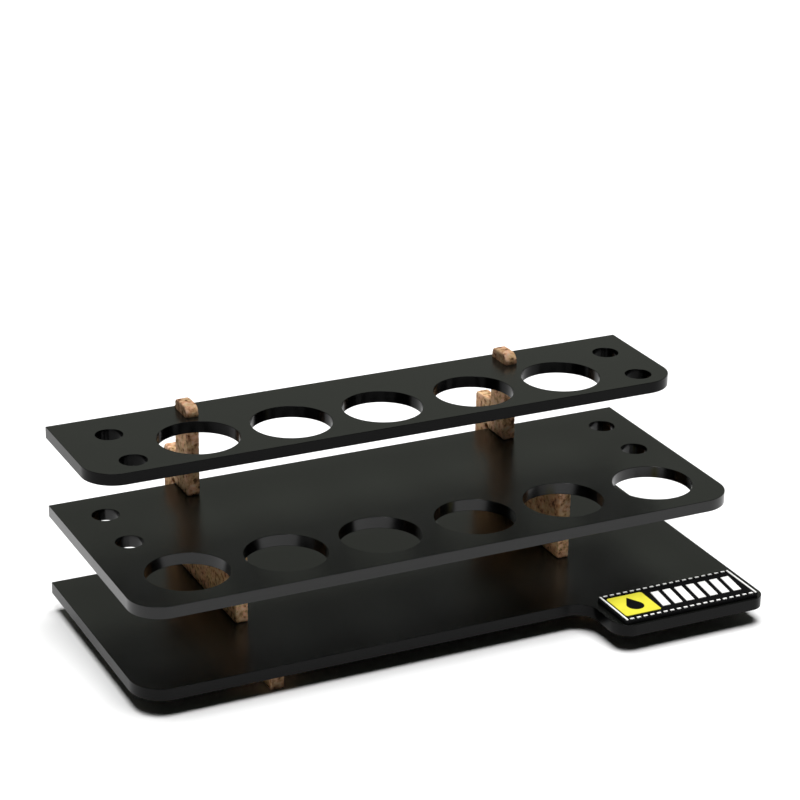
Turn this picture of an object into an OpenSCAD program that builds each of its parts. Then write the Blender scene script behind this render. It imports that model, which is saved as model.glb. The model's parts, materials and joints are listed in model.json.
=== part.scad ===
// Three-level bench rack: satin black plates slotted into two chipboard uprights,
// with a soft badge stuck on a tab at the front of the base.
// Origin: on the table, under the middle of the whole rack. +X to the right, +Y to the back, +Z up.

/* [Plates] */
// Length of every plate, left to right
plate_len = 210; // [190:1:240]
// Thickness of every plate
plate_t = 4; // [3:0.1:5]
// Depth of the base and the middle shelf, back to front
deep_depth = 84.2; // [80:0.1:100]
// Depth of the top shelf
top_depth = 45.2; // [42:0.1:50]
// Rise from one level to the next
level_rise = 27.7; // [22:0.1:36]
// Gap between the table and the underside of the base
foot_h = 5.8; // [3:0.1:10]
// Radius of the front corners of the plates
corner_r = 11; // [2:0.5:14]

/* [Bottle holes] */
// Diameter of the bottle holes
bottle_d = 26.8; // [20:0.1:30]
// Number of bottle holes in the top shelf
top_bottles = 5; // [3:1:5]
// Spacing of the bottle holes in the top shelf
top_pitch = 33; // [31:0.1:34]
// Middle of the top row, to the right of the plate's middle
top_row_x = 1.9; // [-3:0.1:3]
// Distance of the top row from the plate's back edge
top_row_in = 28; // [26:0.1:29]
// Number of bottle holes in the middle shelf
middle_bottles = 6; // [4:1:6]
// Spacing of the bottle holes in the middle shelf
middle_pitch = 33.4; // [31:0.1:34]
// Middle of the middle row, to the right of the plate's middle
middle_row_x = 1; // [-2:0.1:2]
// Distance of the middle row from the plate's back edge
middle_row_in = 63.9; // [58:0.1:66]

/* [Tool holes] */
// Diameter of the small holes for brushes and tools
tool_d = 9; // [6:0.1:10]
// Left pair of small holes in the top shelf, from the plate's left end
top_tool_left = 16.4; // [12:0.1:18]
// Left pair of small holes in the middle shelf, from the plate's left end
middle_tool_left = 14.4; // [12:0.1:18]
// Right pairs of small holes, one above the other, from the plates' right end
tool_right = 11.5; // [9:0.1:12]
// Back small holes of each pair, from the plates' back edge
tool_back_in = 14.4; // [10:0.1:18]
// Front small holes of each pair, from the plates' back edge
tool_front_in = 36.6; // [30:0.1:38]

/* [Uprights] */
// Thickness of the uprights
upright_t = 4.4; // [3:0.1:5]
// Middle of the left upright, to the left of the plate's middle
left_upright_in = 59.1; // [50:0.1:64]
// Middle of the right upright, to the right of the plate's middle
right_upright_in = 57.9; // [50:0.1:64]
// How far the column under the top shelf reaches in from the plates' back edge
column_depth = 11.9; // [8:0.1:13]
// Set-back of the column's rear edge from the plates' back edge
column_set_in = 1.3; // [1:0.1:3]
// How far the panel under the middle shelf reaches in from the plates' back edge
panel_depth = 52.4; // [30:0.1:60]
// How far the runner under the base reaches in from the plates' back edge
runner_depth = 81.2; // [60:0.1:83]
// How far the spine stands out behind the plates
spine_depth = 9.6; // [6:0.1:14]
// Drop from the top of the top shelf to the spine's shoulder
spine_drop = 16.8; // [12:0.1:20]
// Height of the head above the top shelf
head_h = 3.7; // [3:0.1:6]

/* [Tab] */
// Width of the tab at the right of the base's front edge
tab_w = 55.7; // [54:0.1:70]
// Reach of the tab in front of the base
tab_reach = 21.1; // [20.5:0.1:30]
// Radius of the tab's left front corner
tab_left_r = 6.5; // [2:0.5:9]
// Radius of the tab's right front corner
tab_right_r = 5; // [2:0.5:9]
// Radius of the hollow corner where the tab leaves the base
tab_fillet_r = 7.5; // [2:0.5:9]

/* [Badge] */
// Middle of the badge, from the base's right end
badge_in = 27.7; // [27:0.1:30]
// Middle of the badge, in front of the base's front edge
badge_out = 10.5; // [10:0.1:14]
// Length of the badge
badge_len = 50.6; // [50:0.1:52]
// Width of the badge
badge_w = 19.2; // [18.5:0.1:19.5]
// Thickness of the badge's backing
badge_t = 1.2; // [0.8:0.1:2]
// Height of the badge's raised details
raised_t = 0.4; // [0.3:0.1:0.8]
// Side of the square colour tile
tile_w = 13.2; // [12:0.1:13.6]
// Number of slanted bars
bars = 7; // [5:1:8]

/* [Hidden] */
$fn = 96;

// Levels, from the table up
base_z = foot_h;
middle_z = base_z + level_rise;
top_z = middle_z + level_rise;

// The whole rack's middle, back to front, lies over the origin
back_y = (deep_depth + tab_reach + spine_depth) / 2 - spine_depth;

// The top shelf and the uprights are slotted half way into each other
lap = column_depth / 2;
head_front_r = 2.8;
head_back_r = 2.6;
spine_fillet_r = 2.5;
spine_corner_r = 1.2;
slot_relief_d = 2.6;
slot_relief_out = 1.1;
slot_relief_off = 0.2;
buried_r = 1;
eps = 0.01;

// The bottle holes are not quite evenly spaced: shift of each hole to the right
top_row_shift = [0.7, -0.1, -0.6, 0, 0.2];
middle_row_shift = [0.9, 0.4, -0.3, 0.1, -0.7, -0.1];

// Badge: place, border line and raised details
badge_x = plate_len / 2 - badge_in;
badge_y = back_y - deep_depth - badge_out;
badge_z = base_z + plate_t;
badge_r = 1.6;
line_in = 0.7;
line_w = 0.6;
stitches = 19;
stitch_len = 1.4;
stitch_end_in = 2.1;
tile_in = 1.9;
tile_r = 0.8;
droplet_r = 2.9;
droplet_drop = 1;
droplet_touch = 60;
bar_w = 2.9;
bar_h = 10;
bar_slant = 1.2;
bar_pitch = 4.5;
bars_shift = 0.2;

// Place of hole i in a row of n holes, from the row's middle
function along(n, pitch, i) = (i - (n - 1) / 2) * pitch;

// Rectangle, back edge on y = 0, its two front corners rounded to left_r and right_r
module front_rounded(w, d, left_r, right_r) {
    translate([-w / 2 + left_r, -d]) square([w - left_r - right_r, d]);
    translate([-w / 2, -d + left_r]) square([left_r + eps, d - left_r]);
    translate([w / 2 - right_r - eps, -d + right_r]) square([right_r + eps, d - right_r]);
    translate([-w / 2 + left_r, -d + left_r]) circle(left_r);
    translate([w / 2 - right_r, -d + right_r]) circle(right_r);
}

// Rectangle with four equal round corners, centred
module round_rect(w, h, r) {
    square([w - 2 * r, h], center = true);
    square([w, h - 2 * r], center = true);
    for (sx = [-1, 1], sy = [-1, 1])
        translate([sx * (w / 2 - r), sy * (h / 2 - r)]) circle(r);
}

// Hollow corner filler, its square corner at the origin, towards -x and -y
module hollow_corner(r) {
    difference() {
        translate([-r, -r]) square([r + eps, r + eps]);
        translate([-r, -r]) circle(r);
    }
}

module bottle_row(n, pitch, row_x, row_in, shift) {
    for (i = [0:n - 1])
        translate([row_x + along(n, pitch, i) + shift[i], -row_in]) circle(d = bottle_d);
}

module tool_holes(from_left) {
    for (x = [-plate_len / 2 + from_left, plate_len / 2 - tool_right])
        for (row_in = [tool_back_in, tool_front_in])
            translate([x, -row_in]) circle(d = tool_d);
}

// Notches in the back edge that the uprights' top slots lock into
module back_notches() {
    for (x = [-left_upright_in, right_upright_in])
        translate([x - upright_t / 2, -lap]) square([upright_t, lap + eps]);
}

// Raises a plate's outline to its level, at the plates' back edge
module plate_at(z) {
    translate([0, back_y, z]) linear_extrude(plate_t) children();
}

module base_outline() {
    front_rounded(plate_len, deep_depth, corner_r, buried_r);
    translate([plate_len / 2 - tab_w / 2, -deep_depth + corner_r])
        front_rounded(tab_w, tab_reach + corner_r, tab_left_r, tab_right_r);
    translate([plate_len / 2 - tab_w, -deep_depth]) hollow_corner(tab_fillet_r);
}

module base_plate() {
    color("#1b1b1c") plate_at(base_z) base_outline();
}

module middle_shelf() {
    color("#1f1f20") plate_at(middle_z) difference() {
        front_rounded(plate_len, deep_depth, corner_r, corner_r);
        bottle_row(middle_bottles, middle_pitch, middle_row_x, middle_row_in, middle_row_shift);
        tool_holes(middle_tool_left);
    }
}

module top_shelf() {
    color("#232324") plate_at(top_z) difference() {
        front_rounded(plate_len, top_depth, corner_r, corner_r);
        bottle_row(top_bottles, top_pitch, top_row_x, top_row_in, top_row_shift);
        tool_holes(top_tool_left);
        back_notches();
    }
}

// Domed head above the top shelf, seen from the side, its lower front corner at the origin
module head_profile(w) {
    square([w, head_h - max(head_front_r, head_back_r)]);
    translate([head_front_r, 0]) square([w - head_front_r - head_back_r, head_h]);
    translate([head_front_r, head_h - head_front_r]) circle(head_front_r);
    translate([w - head_back_r, head_h - head_back_r]) circle(head_back_r);
    square([head_front_r, head_h - head_front_r]);
    translate([w - head_back_r, 0]) square([head_back_r, head_h - head_back_r]);
}

// Side view of an upright: y to the right, height upwards, the plates' back edge at 0
module upright_profile() {
    column_w = column_depth - column_set_in;
    spine_top = top_z + plate_t - spine_drop;
    difference() {
        union() {
            // Runner under the base, panel under the middle shelf, column under the top shelf
            translate([-runner_depth, 0]) square([runner_depth + eps, base_z]);
            translate([-panel_depth, base_z + plate_t])
                square([panel_depth + eps, level_rise - plate_t]);
            translate([-column_depth, middle_z + plate_t])
                square([column_w, level_rise - plate_t]);
            // Spine behind the plates, with a hollow shoulder up to the column
            square([spine_depth, spine_top - spine_corner_r]);
            square([spine_depth - spine_corner_r, spine_top]);
            translate([spine_depth - spine_corner_r, spine_top - spine_corner_r])
                circle(spine_corner_r);
            translate([-column_set_in - eps, middle_z + plate_t])
                square([column_set_in + 2 * eps, spine_top - middle_z - plate_t]);
            translate([-column_set_in, spine_top]) rotate(180) hollow_corner(spine_fillet_r);
            // Lap through the top shelf, and the head above it
            translate([-lap, top_z - eps]) square([lap - column_set_in, plate_t + 2 * eps]);
            translate([-column_depth, top_z + plate_t]) head_profile(column_w);
        }
        // Round reliefs at the inner corners of the two lower slots
        for (z = [base_z, middle_z], edge = [0, plate_t])
            translate([slot_relief_out, z + edge + (edge > 0 ? 1 : -1) * slot_relief_off])
                circle(d = slot_relief_d);
    }
}

module upright(x) {
    color("#8a5a3a") translate([x - upright_t / 2, back_y, 0])
        rotate([90, 0, 90]) linear_extrude(upright_t) upright_profile();
}

module left_upright() {
    upright(-left_upright_in);
}

module right_upright() {
    upright(right_upright_in);
}

// Puts a flat badge detail on top of the backing
module on_backing() {
    translate([badge_x, badge_y, badge_z + badge_t]) linear_extrude(raised_t) children();
}

module badge_backing() {
    color("#141414") translate([badge_x, badge_y, badge_z])
        linear_extrude(badge_t) round_rect(badge_len, badge_w, badge_r);
}

// Stitch line: dashes along the long sides, a plain line across each end
module badge_border() {
    run = badge_len - 2 * line_in;
    fall = badge_w - 2 * line_in;
    stitch_pitch = (run - 2 * stitch_end_in) / (stitches - 1);
    color("#e8e8e6") on_backing() {
        for (side = [-1, 1], i = [0:stitches - 1])
            translate([along(stitches, stitch_pitch, i), side * (fall - line_w) / 2])
                square([stitch_len, line_w], center = true);
        for (end = [-1, 1])
            translate([end * (run - line_w) / 2, 0]) square([line_w, fall], center = true);
    }
}

module badge_tile() {
    color("#e9d52a") on_backing()
        translate([-badge_len / 2 + tile_in + tile_w / 2, 0]) difference() {
            round_rect(tile_w, tile_w, tile_r);
            droplet();
        }
}

// Paint drop, point to the back of the rack: a round bowl and a pointed roof tangent to it
module droplet() {
    tip = droplet_r / cos(droplet_touch);
    touch_x = droplet_r * sin(droplet_touch);
    touch_y = droplet_r * cos(droplet_touch);
    translate([0, -droplet_drop]) {
        circle(droplet_r);
        polygon([[0, tip], [-touch_x, touch_y], [touch_x, touch_y]]);
    }
}

module badge_droplet() {
    color("#141414") on_backing()
        translate([-badge_len / 2 + tile_in + tile_w / 2, 0]) droplet();
}

// Row of slanted bars to the right of the tile
module badge_bars() {
    field = badge_len - 2 * tile_in - tile_w;
    color("#f2f2f0") on_backing()
        translate([badge_len / 2 - tile_in - field / 2 + bars_shift, 0])
            for (i = [0:bars - 1])
                translate([along(bars, bar_pitch, i), 0])
                    polygon([[-bar_w / 2 - bar_slant / 2, -bar_h / 2],
                             [bar_w / 2 - bar_slant / 2, -bar_h / 2],
                             [bar_w / 2 + bar_slant / 2, bar_h / 2],
                             [-bar_w / 2 + bar_slant / 2, bar_h / 2]]);
}

base_plate();
middle_shelf();
top_shelf();
left_upright();
right_upright();
badge_backing();
badge_border();
badge_tile();
badge_droplet();
badge_bars();
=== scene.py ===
"""Looks for the three-level bench rack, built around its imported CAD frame. Lengths are in metres."""

import json
import math

import bmesh
import bpy
from mathutils import Matrix, Vector, noise


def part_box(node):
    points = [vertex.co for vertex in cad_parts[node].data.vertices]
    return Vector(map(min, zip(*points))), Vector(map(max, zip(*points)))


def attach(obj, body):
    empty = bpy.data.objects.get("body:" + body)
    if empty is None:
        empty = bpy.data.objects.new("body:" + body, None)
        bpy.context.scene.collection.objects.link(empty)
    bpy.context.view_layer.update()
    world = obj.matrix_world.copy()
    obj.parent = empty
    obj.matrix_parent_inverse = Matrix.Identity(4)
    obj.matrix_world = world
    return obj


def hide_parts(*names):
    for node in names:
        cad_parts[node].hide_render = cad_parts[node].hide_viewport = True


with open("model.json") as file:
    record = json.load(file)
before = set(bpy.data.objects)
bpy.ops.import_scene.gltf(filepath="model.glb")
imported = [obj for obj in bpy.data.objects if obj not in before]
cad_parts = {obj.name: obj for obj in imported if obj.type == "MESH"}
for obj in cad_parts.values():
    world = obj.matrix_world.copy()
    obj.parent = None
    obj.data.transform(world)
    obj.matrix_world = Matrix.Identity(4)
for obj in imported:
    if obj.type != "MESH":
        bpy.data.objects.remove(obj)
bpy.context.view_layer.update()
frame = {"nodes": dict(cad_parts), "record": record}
MM = 0.001

# Camera: the direction it looks from, its place, and its lens in millimetres
CAM_AZIMUTH = math.radians(-26.1)
CAM_ELEVATION = math.radians(22.1)
CAM_ROLL = math.radians(0.91)
CAM_PLACE = Vector((-333.9, -677.4, 381.7)) * MM
CAM_LENS = 114.57
CAM_SENSOR = 36
CAM_CLIP = (0.01, 20)

# Plates: corner radii and tab as in the CAD model, and the small rounding of every edge
PLATE_CORNER = 11 * MM
PLATE_EDGE = 0.12 * MM
TAB_WIDTH = 55.7 * MM
TAB_REACH = 21.1 * MM
TAB_LEFT_R = 6.5 * MM
TAB_RIGHT_R = 5 * MM
TAB_FILLET_R = 7.5 * MM
ARC_STEP = math.radians(4)

# Shading: faces above LEVEL count as level; rings blend only along their own run
LEVEL = 0.9
RING_ANGLE = math.radians(35)
RING_STEP = 0.1

# Sheet: refraction of its faces; refraction and tone of each plate's cut edge, set apart per plate so
# one sheet's edges reflect brighter or darker: painted sheen and shade; underside gloss
SHEET_IOR = 1.52
BASE_CUT = (1.2, 0.001)
MIDDLE_CUT = (1.4, 0.0005)
TOP_CUT = (1.185, 0.0005)
DULL_GLOSS = 0.02
UNDER_GLOSS = 0.3
UNDER_ROUGHNESS = 0.4

# Noise scales of the sheet, in cells per metre, and the heights of its grain
FACE_BROAD, FACE_GLOSS, FACE_GRAIN = 60, 25, 2600
CUT_BROAD, CUT_GRAIN = 120, 2200
UNDER_BROAD = 90
FACE_GRAIN_HEIGHT = 0.006 * MM
CUT_GRAIN_HEIGHT = 0.004 * MM
SHEET_GRAIN_STRENGTH = 0.3

# Chipboard uprights: mesh size, pits all over, and bites out of the edges
CHIP_VOXEL = 0.35 * MM
CHIP_DEPTH = 0.13 * MM
CHIP_SCALE = 1 / (1.1 * MM)
NIBBLE_DEPTH = 0.3 * MM
NIBBLE_SCALE = 1 / (2.4 * MM)
NIBBLE_LEVEL = 0.1
PIT_LEVEL = 0.05
PIT_GAIN = 1.6
EDGE_DEPTH = 1.2
EDGE_FROM = 0.97
EDGE_SPAN = 0.2
# Pale edge tone: partly wear, partly a painted highlight along the edges
WEAR_AND_HIGHLIGHT_TONE = 0.45
WEAR_AND_HIGHLIGHT_SPREAD = 0.5
WEAR_AND_HIGHLIGHT_SCALE = 0.8 * CHIP_SCALE

# Chipboard colours, and its noise scales in cells per metre
DARK_PORE = (0.13, 0.062, 0.028)
BROWN = (0.45, 0.255, 0.132)
TAN = (0.66, 0.405, 0.235)
PALE_CHIP = (0.66, 0.47, 0.32)
# Pale edge colour, partly wear and partly painted highlight
WEAR_AND_HIGHLIGHT_EDGE = (0.66, 0.49, 0.37, 1)
OLIVE_HUE = (0.94, 1.01, 0.93)
PINK_HUE = (1.07, 0.985, 1.03)
CHIP_GRAINS, CHIP_MOTTLE, CHIP_PATCHES, CHIP_FINE = 620, 260, 300, 1600
CHIP_ROUGHNESS = 0.85
CHIP_GLOSS = 0.08
CHIP_BUMP = 0.1 * MM

# Heights where the uprights' painted shade and light change: by the base, the panel, the middle and
# top shelves
FOOT_TOP = 5.5 * MM
BASE_TOP = 9.5 * MM
PANEL_LOW = 17 * MM
PANEL_SIDE = 20 * MM
PANEL_HIGH = 24 * MM
SHELF_UNDER = 34 * MM
SHELF_TOP = 38 * MM
COLUMN_TOP = 62.5 * MM
HEAD_FOOT = 67 * MM

# Badge: corner radius of its backing, and the soft edges of the backing and its details
BADGE_CORNER = 1.6 * MM
BADGE_EDGE = 0.3 * MM
DETAIL_EDGE = 0.12 * MM
BADGE_BLACK = (0.0015, 0.0015, 0.0018)
BADGE_WHITE = (0.82, 0.82, 0.8)
BADGE_YELLOW = (0.66, 0.61, 0.035)
BLACK_ROUGHNESS = 0.7
BLACK_GLOSS = 0.06
MOULD_TONE, MOULD_GRAIN = 400, 3500
MOULD_BUMP = 0.03 * MM

# Studio: floor, soft boxes (place, aim, size, watts) and the dim surround
FLOOR_HALF = 6
FLOOR_TONE = (0.9, 0.9, 0.9, 1)
FLOOR_ROUGHNESS = 0.9
OVERHEAD = ((0, 0, 3), (0, 0, 0), (2.2, 2.2), 165)
BACK_WALL = ((1.2, 3, 1.45), (1.2, 0, 1.45), (7, 2.9), 16)
BACK_WALL_COLOUR = (0.95, 1.0, 0.88)
SURROUND = (0.012, 0.013, 0.011, 1)


# ---------------------------------------------------------------- outlines

def arc(cx, cy, r, start, end):
    """Points of an arc, in degrees from the +x axis, both ends included."""
    a, b = math.radians(start), math.radians(end)
    n = max(3, math.ceil(abs(b - a) / ARC_STEP))
    return [(cx + r * math.cos(a + (b - a) * i / n), cy + r * math.sin(a + (b - a) * i / n))
            for i in range(n + 1)]


def circle(cx, cy, r):
    return arc(cx, cy, r, 0, 360)[:-1]


def round_rect(low, high, r):
    return [*arc(low[0] + r, low[1] + r, r, 180, 270), *arc(high[0] - r, low[1] + r, r, 270, 360),
            *arc(high[0] - r, high[1] - r, r, 0, 90), *arc(low[0] + r, high[1] - r, r, 90, 180)]


def plate_outline(low, high, r):
    """Square back corners, round front corners, anticlockwise."""
    return [(low.x, high.y), *arc(low.x + r, low.y + r, r, 180, 270),
            *arc(high.x - r, low.y + r, r, 270, 360), (high.x, high.y)]


def base_outline(low, high, r):
    """The base's outline, with its tab at the right of the front edge."""
    front = low.y + TAB_REACH
    tab = high.x - TAB_WIDTH
    return [(low.x, high.y), *arc(low.x + r, front + r, r, 180, 270),
            *arc(tab - TAB_FILLET_R, front - TAB_FILLET_R, TAB_FILLET_R, 90, 0),
            *arc(tab + TAB_LEFT_R, low.y + TAB_LEFT_R, TAB_LEFT_R, 180, 270),
            *arc(high.x - TAB_RIGHT_R, low.y + TAB_RIGHT_R, TAB_RIGHT_R, 270, 360),
            (high.x, high.y)]


def holes_of(node):
    """Outlines of the round holes that the record's mounts state in this node's plate."""
    low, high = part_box(node)
    found = []
    for mount in frame["record"]["mounts"]:
        x, y, z = mount["pos_m"]
        if "r_mm" in mount["dims"] and low.z < z < high.z:
            found.append(circle(x, y, mount["dims"]["r_mm"] * MM))
    return found


# ---------------------------------------------------------------- meshes

def sheet_mesh(name, loops, thickness, edge, edge_steps=2):
    """A flat sheet with holes, its lower face on z = 0, and every edge rounded by edge."""
    curve = bpy.data.curves.new(name, "CURVE")
    curve.dimensions = "2D"
    curve.fill_mode = "BOTH"
    curve.extrude = thickness / 2 - edge
    curve.bevel_depth = edge
    curve.bevel_resolution = edge_steps
    curve.offset = -edge
    for loop in loops:
        spline = curve.splines.new("POLY")
        spline.points.add(len(loop) - 1)
        for point, (x, y) in zip(spline.points, loop):
            point.co = (x, y, 0, 1)
        spline.use_cyclic_u = True
    temporary = bpy.data.objects.new(name, curve)
    bpy.context.scene.collection.objects.link(temporary)
    graph = bpy.context.evaluated_depsgraph_get()
    mesh = bpy.data.meshes.new_from_object(temporary.evaluated_get(graph))
    bpy.data.objects.remove(temporary)
    bpy.data.curves.remove(curve)
    mesh.name = name
    mesh.transform(Matrix.Translation((0, 0, thickness / 2)))
    return mesh


def shade_rings(mesh):
    """Smooth round the outlines only: level faces stay flat, and no ring blends into the next."""
    work = bmesh.new()
    work.from_mesh(mesh)
    bmesh.ops.remove_doubles(work, verts=work.verts, dist=1e-6)
    for face in work.faces:
        face.smooth = abs(face.normal.z) < LEVEL
    for edge in work.edges:
        pair = edge.link_faces
        edge.smooth = (len(pair) == 2 and edge.calc_face_angle(0) < RING_ANGLE
                       and abs(pair[0].normal.z - pair[1].normal.z) < RING_STEP)
    work.to_mesh(mesh)
    work.free()


def piece(name, mesh, materials, node):
    """Puts a finished mesh in the scene in place of its CAD node."""
    obj = bpy.data.objects.new(name, mesh)
    bpy.context.scene.collection.objects.link(obj)
    for material in materials:
        mesh.materials.append(material)
    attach(obj, "root")
    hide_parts(node)


# ---------------------------------------------------------------- materials

def new_material(name):
    material = bpy.data.materials.new(name)
    material.use_nodes = True
    nodes, links = material.node_tree.nodes, material.node_tree.links
    shader = nodes["Principled BSDF"]
    place = nodes.new("ShaderNodeTexCoord")
    return material, nodes, links, shader, place.outputs["Object"]


def noise_node(nodes, links, vector, scale, detail=4, roughness=0.55):
    node = nodes.new("ShaderNodeTexNoise")
    node.inputs["Scale"].default_value = scale
    node.inputs["Detail"].default_value = detail
    node.inputs["Roughness"].default_value = roughness
    links.new(vector, node.inputs["Vector"])
    return node


def ramp(nodes, links, value, stops):
    """Colour ramp from (position, colour) stops; a single number stands for a grey."""
    node = nodes.new("ShaderNodeValToRGB")
    band = node.color_ramp
    while len(band.elements) < len(stops):
        band.elements.new(0.5)
    for element, (position, colour) in zip(band.elements, stops):
        element.position = position
        grey = isinstance(colour, (int, float))
        element.color = (colour, colour, colour, 1) if grey else (*colour, 1)
    links.new(value, node.inputs["Fac"])
    return node.outputs["Color"]


def bump(nodes, links, shader, height, distance, strength=1.0):
    node = nodes.new("ShaderNodeBump")
    node.inputs["Strength"].default_value = strength
    node.inputs["Distance"].default_value = distance
    links.new(height, node.inputs["Height"])
    links.new(node.outputs["Normal"], shader.inputs["Normal"])


def mix(nodes, links, blend, factor, a, b):
    """Mix of two colours; factor, a and b may be sockets or plain values."""
    node = nodes.new("ShaderNodeMix")
    node.data_type = "RGBA"
    node.blend_type = blend
    for socket, value in (("Factor", factor), ("A", a), ("B", b)):
        slot = [s for s in node.inputs if s.name == socket and s.enabled][0]
        if isinstance(value, bpy.types.NodeSocket):
            links.new(value, slot)
        else:
            slot.default_value = value
    return [s for s in node.outputs if s.enabled][0]


def sheet_face():
    """Satin black face of the sheet: fine grain, and faint broad variation in its gloss."""
    material, nodes, links, shader, place = new_material("sheet_face")
    shader.inputs["IOR"].default_value = SHEET_IOR
    broad = noise_node(nodes, links, place, FACE_BROAD, 3)
    links.new(ramp(nodes, links, broad.outputs["Fac"],
                   [(0.3, (0.0012, 0.0015, 0.0011)), (0.7, (0.0018, 0.0022, 0.0016))]),
              shader.inputs["Base Color"])
    gloss = noise_node(nodes, links, place, FACE_GLOSS, 5, 0.6)
    links.new(ramp(nodes, links, gloss.outputs["Fac"], [(0.25, 0.23), (0.75, 0.27)]),
              shader.inputs["Roughness"])
    grain = noise_node(nodes, links, place, FACE_GRAIN, 2)
    bump(nodes, links, shader, grain.outputs["Fac"], FACE_GRAIN_HEIGHT, SHEET_GRAIN_STRENGTH)
    return material


def sheet_cut(name, ior, tone):
    """Polished cut edge of the sheet, with a faint uneven gloss along it."""
    material, nodes, links, shader, place = new_material(name)
    shader.inputs["IOR"].default_value = ior
    broad = noise_node(nodes, links, place, CUT_BROAD, 3)
    links.new(ramp(nodes, links, broad.outputs["Fac"], [(0.3, tone * 0.8), (0.7, tone * 1.2)]),
              shader.inputs["Base Color"])
    links.new(ramp(nodes, links, broad.outputs["Fac"], [(0.3, 0.17), (0.7, 0.23)]),
              shader.inputs["Roughness"])
    grain = noise_node(nodes, links, place, CUT_GRAIN, 2)
    bump(nodes, links, shader, grain.outputs["Fac"], CUT_GRAIN_HEIGHT, SHEET_GRAIN_STRENGTH)
    return material


def sheet_underside(name, gloss):
    """Unpolished underside of the sheet: dull black, with only a weak blurred gloss."""
    material, nodes, links, shader, place = new_material(name)
    shader.inputs["Roughness"].default_value = UNDER_ROUGHNESS
    shader.inputs["Specular IOR Level"].default_value = gloss
    tone = noise_node(nodes, links, place, UNDER_BROAD, 3)
    links.new(ramp(nodes, links, tone.outputs["Fac"], [(0.3, 0.0015), (0.7, 0.0025)]),
              shader.inputs["Base Color"])
    return material


def painted_height_shade(nodes, links, place):
    """Painted shade and light by height: the upright is dimmer between the plates, its sides more than
    its front, its front dimmer on the foot below the base, brighter just above the base, and dimmer at
    the head.
    """
    height = nodes.new("ShaderNodeSeparateXYZ")
    links.new(place, height.inputs[0])
    front = ramp(nodes, links, height.outputs["Z"],
                 [(FOOT_TOP, 0.42), (BASE_TOP, 1.6), (PANEL_LOW, 1.5), (PANEL_HIGH, 0.45),
                  (SHELF_UNDER, 0.45), (SHELF_TOP, 1.0), (COLUMN_TOP, 1.0), (HEAD_FOOT, 0.62)])
    side = ramp(nodes, links, height.outputs["Z"],
                [(BASE_TOP, (1.2, 1.15, 1.0)), (PANEL_SIDE, (0.7, 0.66, 0.54)),
                 (SHELF_UNDER, (0.5, 0.46, 0.38)), (SHELF_TOP, 1.0), (COLUMN_TOP, 1.0),
                 (HEAD_FOOT, 0.62)])
    facing = nodes.new("ShaderNodeNewGeometry")
    across = nodes.new("ShaderNodeVectorMath")
    across.operation = "ABSOLUTE"
    links.new(facing.outputs["Normal"], across.inputs[0])
    sideways = nodes.new("ShaderNodeSeparateXYZ")
    links.new(across.outputs["Vector"], sideways.inputs[0])
    on_side = ramp(nodes, links, sideways.outputs["X"], [(0.55, 0.0), (0.85, 1.0)])
    return mix(nodes, links, "MIX", on_side, front, side)


def chipboard():
    """Pressed brown chips: soft granules of many browns, dark pores, pale edges that are partly wear
    and partly painted highlight, and painted shade and light by height.
    """
    material, nodes, links, shader, place = new_material("chipboard")
    shader.inputs["Roughness"].default_value = CHIP_ROUGHNESS
    shader.inputs["Specular IOR Level"].default_value = CHIP_GLOSS
    grains = noise_node(nodes, links, place, CHIP_GRAINS, 3, 0.6)
    browns = ramp(nodes, links, grains.outputs["Fac"],
                  [(0.34, DARK_PORE), (0.43, BROWN), (0.54, TAN), (0.68, PALE_CHIP)])
    broad = noise_node(nodes, links, place, CHIP_MOTTLE, 4)
    mottle = ramp(nodes, links, broad.outputs["Fac"], [(0.3, 0.75), (0.65, 1.1)])
    patches = noise_node(nodes, links, place, CHIP_PATCHES, 2)
    hue = ramp(nodes, links, patches.outputs["Fac"], [(0.38, OLIVE_HUE), (0.62, PINK_HUE)])
    colour = browns
    # The last layer multiplies painted shade and light by height into the colour
    for layer in (mottle, hue, painted_height_shade(nodes, links, place)):
        colour = mix(nodes, links, "MULTIPLY", 1.0, colour, layer)
    # Pale edges mixed in here: partly wear, partly painted highlight
    edge = nodes.new("ShaderNodeAttribute")
    edge.attribute_name = "wear_and_highlight"
    wear_and_highlight = mix(nodes, links, "MIX", edge.outputs["Fac"], colour, WEAR_AND_HIGHLIGHT_EDGE)
    links.new(wear_and_highlight, shader.inputs["Base Color"])
    fine = noise_node(nodes, links, place, CHIP_FINE, 4)
    bump(nodes, links, shader, fine.outputs["Fac"], CHIP_BUMP, 0.7)
    return material


def moulded(name, colour, roughness=0.6, gloss=0.3):
    """Soft moulded rubber in one colour, with a fine matt grain."""
    material, nodes, links, shader, place = new_material(name)
    shader.inputs["Specular IOR Level"].default_value = gloss
    tone = noise_node(nodes, links, place, MOULD_TONE, 3)
    dark = tuple(c * 0.92 for c in colour)
    links.new(ramp(nodes, links, tone.outputs["Fac"], [(0.3, dark), (0.7, colour)]),
              shader.inputs["Base Color"])
    links.new(ramp(nodes, links, tone.outputs["Fac"],
                   [(0.3, roughness - 0.05), (0.7, roughness + 0.05)]),
              shader.inputs["Roughness"])
    grain = noise_node(nodes, links, place, MOULD_GRAIN, 2)
    bump(nodes, links, shader, grain.outputs["Fac"], MOULD_BUMP, 0.5)
    return material


SHEET_FACE = sheet_face()
DULL_UNDERSIDE = sheet_underside("dull_underside", DULL_GLOSS)
UNDERSIDE = sheet_underside("sheet_underside", UNDER_GLOSS)
CHIPBOARD = chipboard()
RUBBER = moulded("badge_black", BADGE_BLACK, BLACK_ROUGHNESS, BLACK_GLOSS)
WHITE = moulded("badge_white", BADGE_WHITE)
YELLOW = moulded("badge_yellow", BADGE_YELLOW)


# ---------------------------------------------------------------- plates

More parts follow.
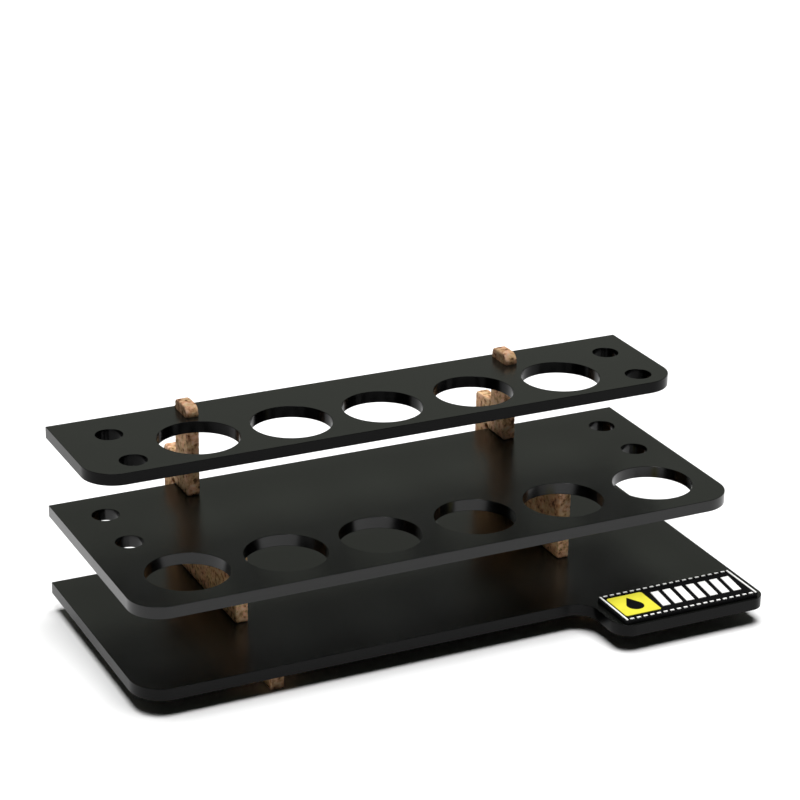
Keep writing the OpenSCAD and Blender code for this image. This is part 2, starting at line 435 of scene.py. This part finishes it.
def plate(node, outline, cut, underside=UNDERSIDE):
    """A plate in place of its CAD node, with its face, cut-edge and underside materials."""
    low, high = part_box(node)
    mesh = sheet_mesh(node, [outline, *holes_of(node)], high.z - low.z, PLATE_EDGE)
    mesh.transform(Matrix.Translation((0, 0, low.z)))
    shade_rings(mesh)
    piece(node + "_sheet", mesh, [SHEET_FACE, cut, underside], node)
    for polygon in mesh.polygons:
        up = polygon.normal.z
        polygon.material_index = 0 if up > LEVEL else 2 if up < -LEVEL else 1


# The three cut edges are copies of one material, the middle edge brighter and the top and base edges
# darker: painted sheen and shade
plate("base_plate", base_outline(*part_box("base_plate"), PLATE_CORNER),
      sheet_cut("base_edge", *BASE_CUT), DULL_UNDERSIDE)
plate("middle_shelf", plate_outline(*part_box("middle_shelf"), PLATE_CORNER),
      sheet_cut("middle_edge", *MIDDLE_CUT))
plate("top_shelf", plate_outline(*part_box("top_shelf"), PLATE_CORNER),
      sheet_cut("top_edge", *TOP_CUT))


# ---------------------------------------------------------------- uprights

def chipped(node):
    """The upright's CAD form remeshed finely, its edges worn and its surface chipped inward; its edges
    also get a pale tone that is partly wear and partly painted highlight.
    """
    mesh = frame["nodes"][node].data.copy()
    mesh.materials.clear()
    shape = bpy.data.objects.new(node, mesh)
    bpy.context.scene.collection.objects.link(shape)
    remesh = shape.modifiers.new("remesh", "REMESH")
    remesh.mode = "VOXEL"
    remesh.voxel_size = CHIP_VOXEL
    graph = bpy.context.evaluated_depsgraph_get()
    fine = bpy.data.meshes.new_from_object(shape.evaluated_get(graph))
    bpy.data.objects.remove(shape)
    fine.name = node + "_chips"
    work = bmesh.new()
    work.from_mesh(fine)
    work.normal_update()
    wear_and_highlight = work.verts.layers.float.new("wear_and_highlight")
    sharp = {}
    for vert in work.verts:
        spread = min((face.normal.dot(vert.normal) for face in vert.link_faces), default=1)
        sharp[vert.index] = max(0.0, min(1.0, (EDGE_FROM - spread) / EDGE_SPAN))
    for vert in work.verts:
        near = [sharp[edge.other_vert(vert).index] for edge in vert.link_edges]
        edge_here = 0.5 * sharp[vert.index] + 0.5 * sum(near) / len(near)
        rough = noise.noise(vert.co * CHIP_SCALE)
        pits = max(0.0, rough - PIT_LEVEL) * PIT_GAIN
        nibble = edge_here * max(0.0, noise.noise(vert.co * NIBBLE_SCALE) + NIBBLE_LEVEL)
        vert.co -= vert.normal * (CHIP_DEPTH * (pits + edge_here * (EDGE_DEPTH + rough))
                                  + NIBBLE_DEPTH * nibble)
        # Strength of the pale edge tone, partly wear and partly painted highlight
        vert[wear_and_highlight] = edge_here * (WEAR_AND_HIGHLIGHT_TONE + WEAR_AND_HIGHLIGHT_SPREAD * noise.noise(vert.co * WEAR_AND_HIGHLIGHT_SCALE))
    work.to_mesh(fine)
    work.free()
    for polygon in fine.polygons:
        polygon.use_smooth = True
    piece(node + "_board", fine, [CHIPBOARD], node)


chipped("left_upright")
chipped("right_upright")


# ---------------------------------------------------------------- badge

def flats_of(node):
    """Outlines of the level top faces of a CAD node, each as a loop with its holes."""
    work = bmesh.new()
    work.from_mesh(frame["nodes"][node].data)
    bmesh.ops.remove_doubles(work, verts=work.verts, dist=1e-6)
    top = max(vert.co.z for vert in work.verts)
    rim = {}
    for face in work.faces:
        if face.normal.z < LEVEL or face.calc_center_median().z < top - DETAIL_EDGE:
            continue
        for loop in face.loops:
            if any(other.normal.z < LEVEL for other in loop.edge.link_faces):
                rim[tuple(loop.vert.co.xy)] = tuple(loop.link_loop_next.vert.co.xy)
    loops = []
    while rim:
        start = next(iter(rim))
        loop, point = [], start
        while point in rim:
            loop.append(point)
            point = rim.pop(point)
        loops.append(loop)
    work.free()
    return loops


def raised(name, node, material):
    """A raised badge detail with soft edges, on the CAD node's own outlines."""
    low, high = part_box(node)
    mesh = sheet_mesh(name, flats_of(node), high.z - low.z, DETAIL_EDGE, 3)
    mesh.transform(Matrix.Translation((0, 0, low.z)))
    shade_rings(mesh)
    piece(name, mesh, [material], node)


def badge():
    low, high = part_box("badge_backing")
    mesh = sheet_mesh("badge_pad", [round_rect(low, high, BADGE_CORNER)], high.z - low.z,
                      BADGE_EDGE, 4)
    mesh.transform(Matrix.Translation((0, 0, low.z)))
    shade_rings(mesh)
    piece("badge_pad", mesh, [RUBBER], "badge_backing")
    raised("badge_stitches", "badge_border", WHITE)
    raised("badge_square", "badge_tile", YELLOW)
    raised("badge_drop", "badge_droplet", RUBBER)
    raised("badge_stripes", "badge_bars", WHITE)


badge()


# ---------------------------------------------------------------- studio

def floor():
    mesh = bpy.data.meshes.new("floor")
    work = bmesh.new()
    bmesh.ops.create_grid(work, x_segments=1, y_segments=1, size=FLOOR_HALF)
    work.to_mesh(mesh)
    work.free()
    obj = bpy.data.objects.new("floor", mesh)
    bpy.context.scene.collection.objects.link(obj)
    material, _, _, shader, _ = new_material("floor_white")
    shader.inputs["Base Color"].default_value = FLOOR_TONE
    shader.inputs["Roughness"].default_value = FLOOR_ROUGHNESS
    shader.inputs["Specular IOR Level"].default_value = 0.0
    mesh.materials.append(material)


def soft_light(name, place, aim, size, watts):
    """A soft box at place, facing aim; size is its width and height."""
    light = bpy.data.lights.new(name, "AREA")
    light.shape = "RECTANGLE"
    light.size, light.size_y = size
    light.energy = watts
    obj = bpy.data.objects.new(name, light)
    obj.location = place
    obj.rotation_euler = (Vector(aim) - Vector(place)).to_track_quat("-Z", "Y").to_euler()
    bpy.context.scene.collection.objects.link(obj)
    return light


def studio():
    """A soft box overhead for the white floor, and a dim wall of light behind for the sheen."""
    floor()
    soft_light("overhead", *OVERHEAD)
    wall = soft_light("back_wall", *BACK_WALL)
    wall.color = BACK_WALL_COLOUR
    world = bpy.data.worlds.new("studio")
    bpy.context.scene.world = world
    world.use_nodes = True
    world.node_tree.nodes["Background"].inputs["Color"].default_value = SURROUND
    bpy.context.scene.view_settings.view_transform = "Standard"


def camera():
    data = bpy.data.cameras.new("camera")
    data.lens = CAM_LENS
    data.sensor_width = CAM_SENSOR
    data.clip_start, data.clip_end = CAM_CLIP
    obj = bpy.data.objects.new("camera", data)
    a, e = CAM_AZIMUTH, CAM_ELEVATION
    back = Vector((math.sin(a) * math.cos(e), -math.cos(a) * math.cos(e), math.sin(e)))
    turn = (-back).to_track_quat("-Z", "Y").to_matrix().to_4x4()
    obj.matrix_world = Matrix.Translation(CAM_PLACE) @ turn @ Matrix.Rotation(CAM_ROLL, 4, "Z")
    bpy.context.scene.collection.objects.link(obj)
    bpy.context.scene.camera = obj


studio()
camera()
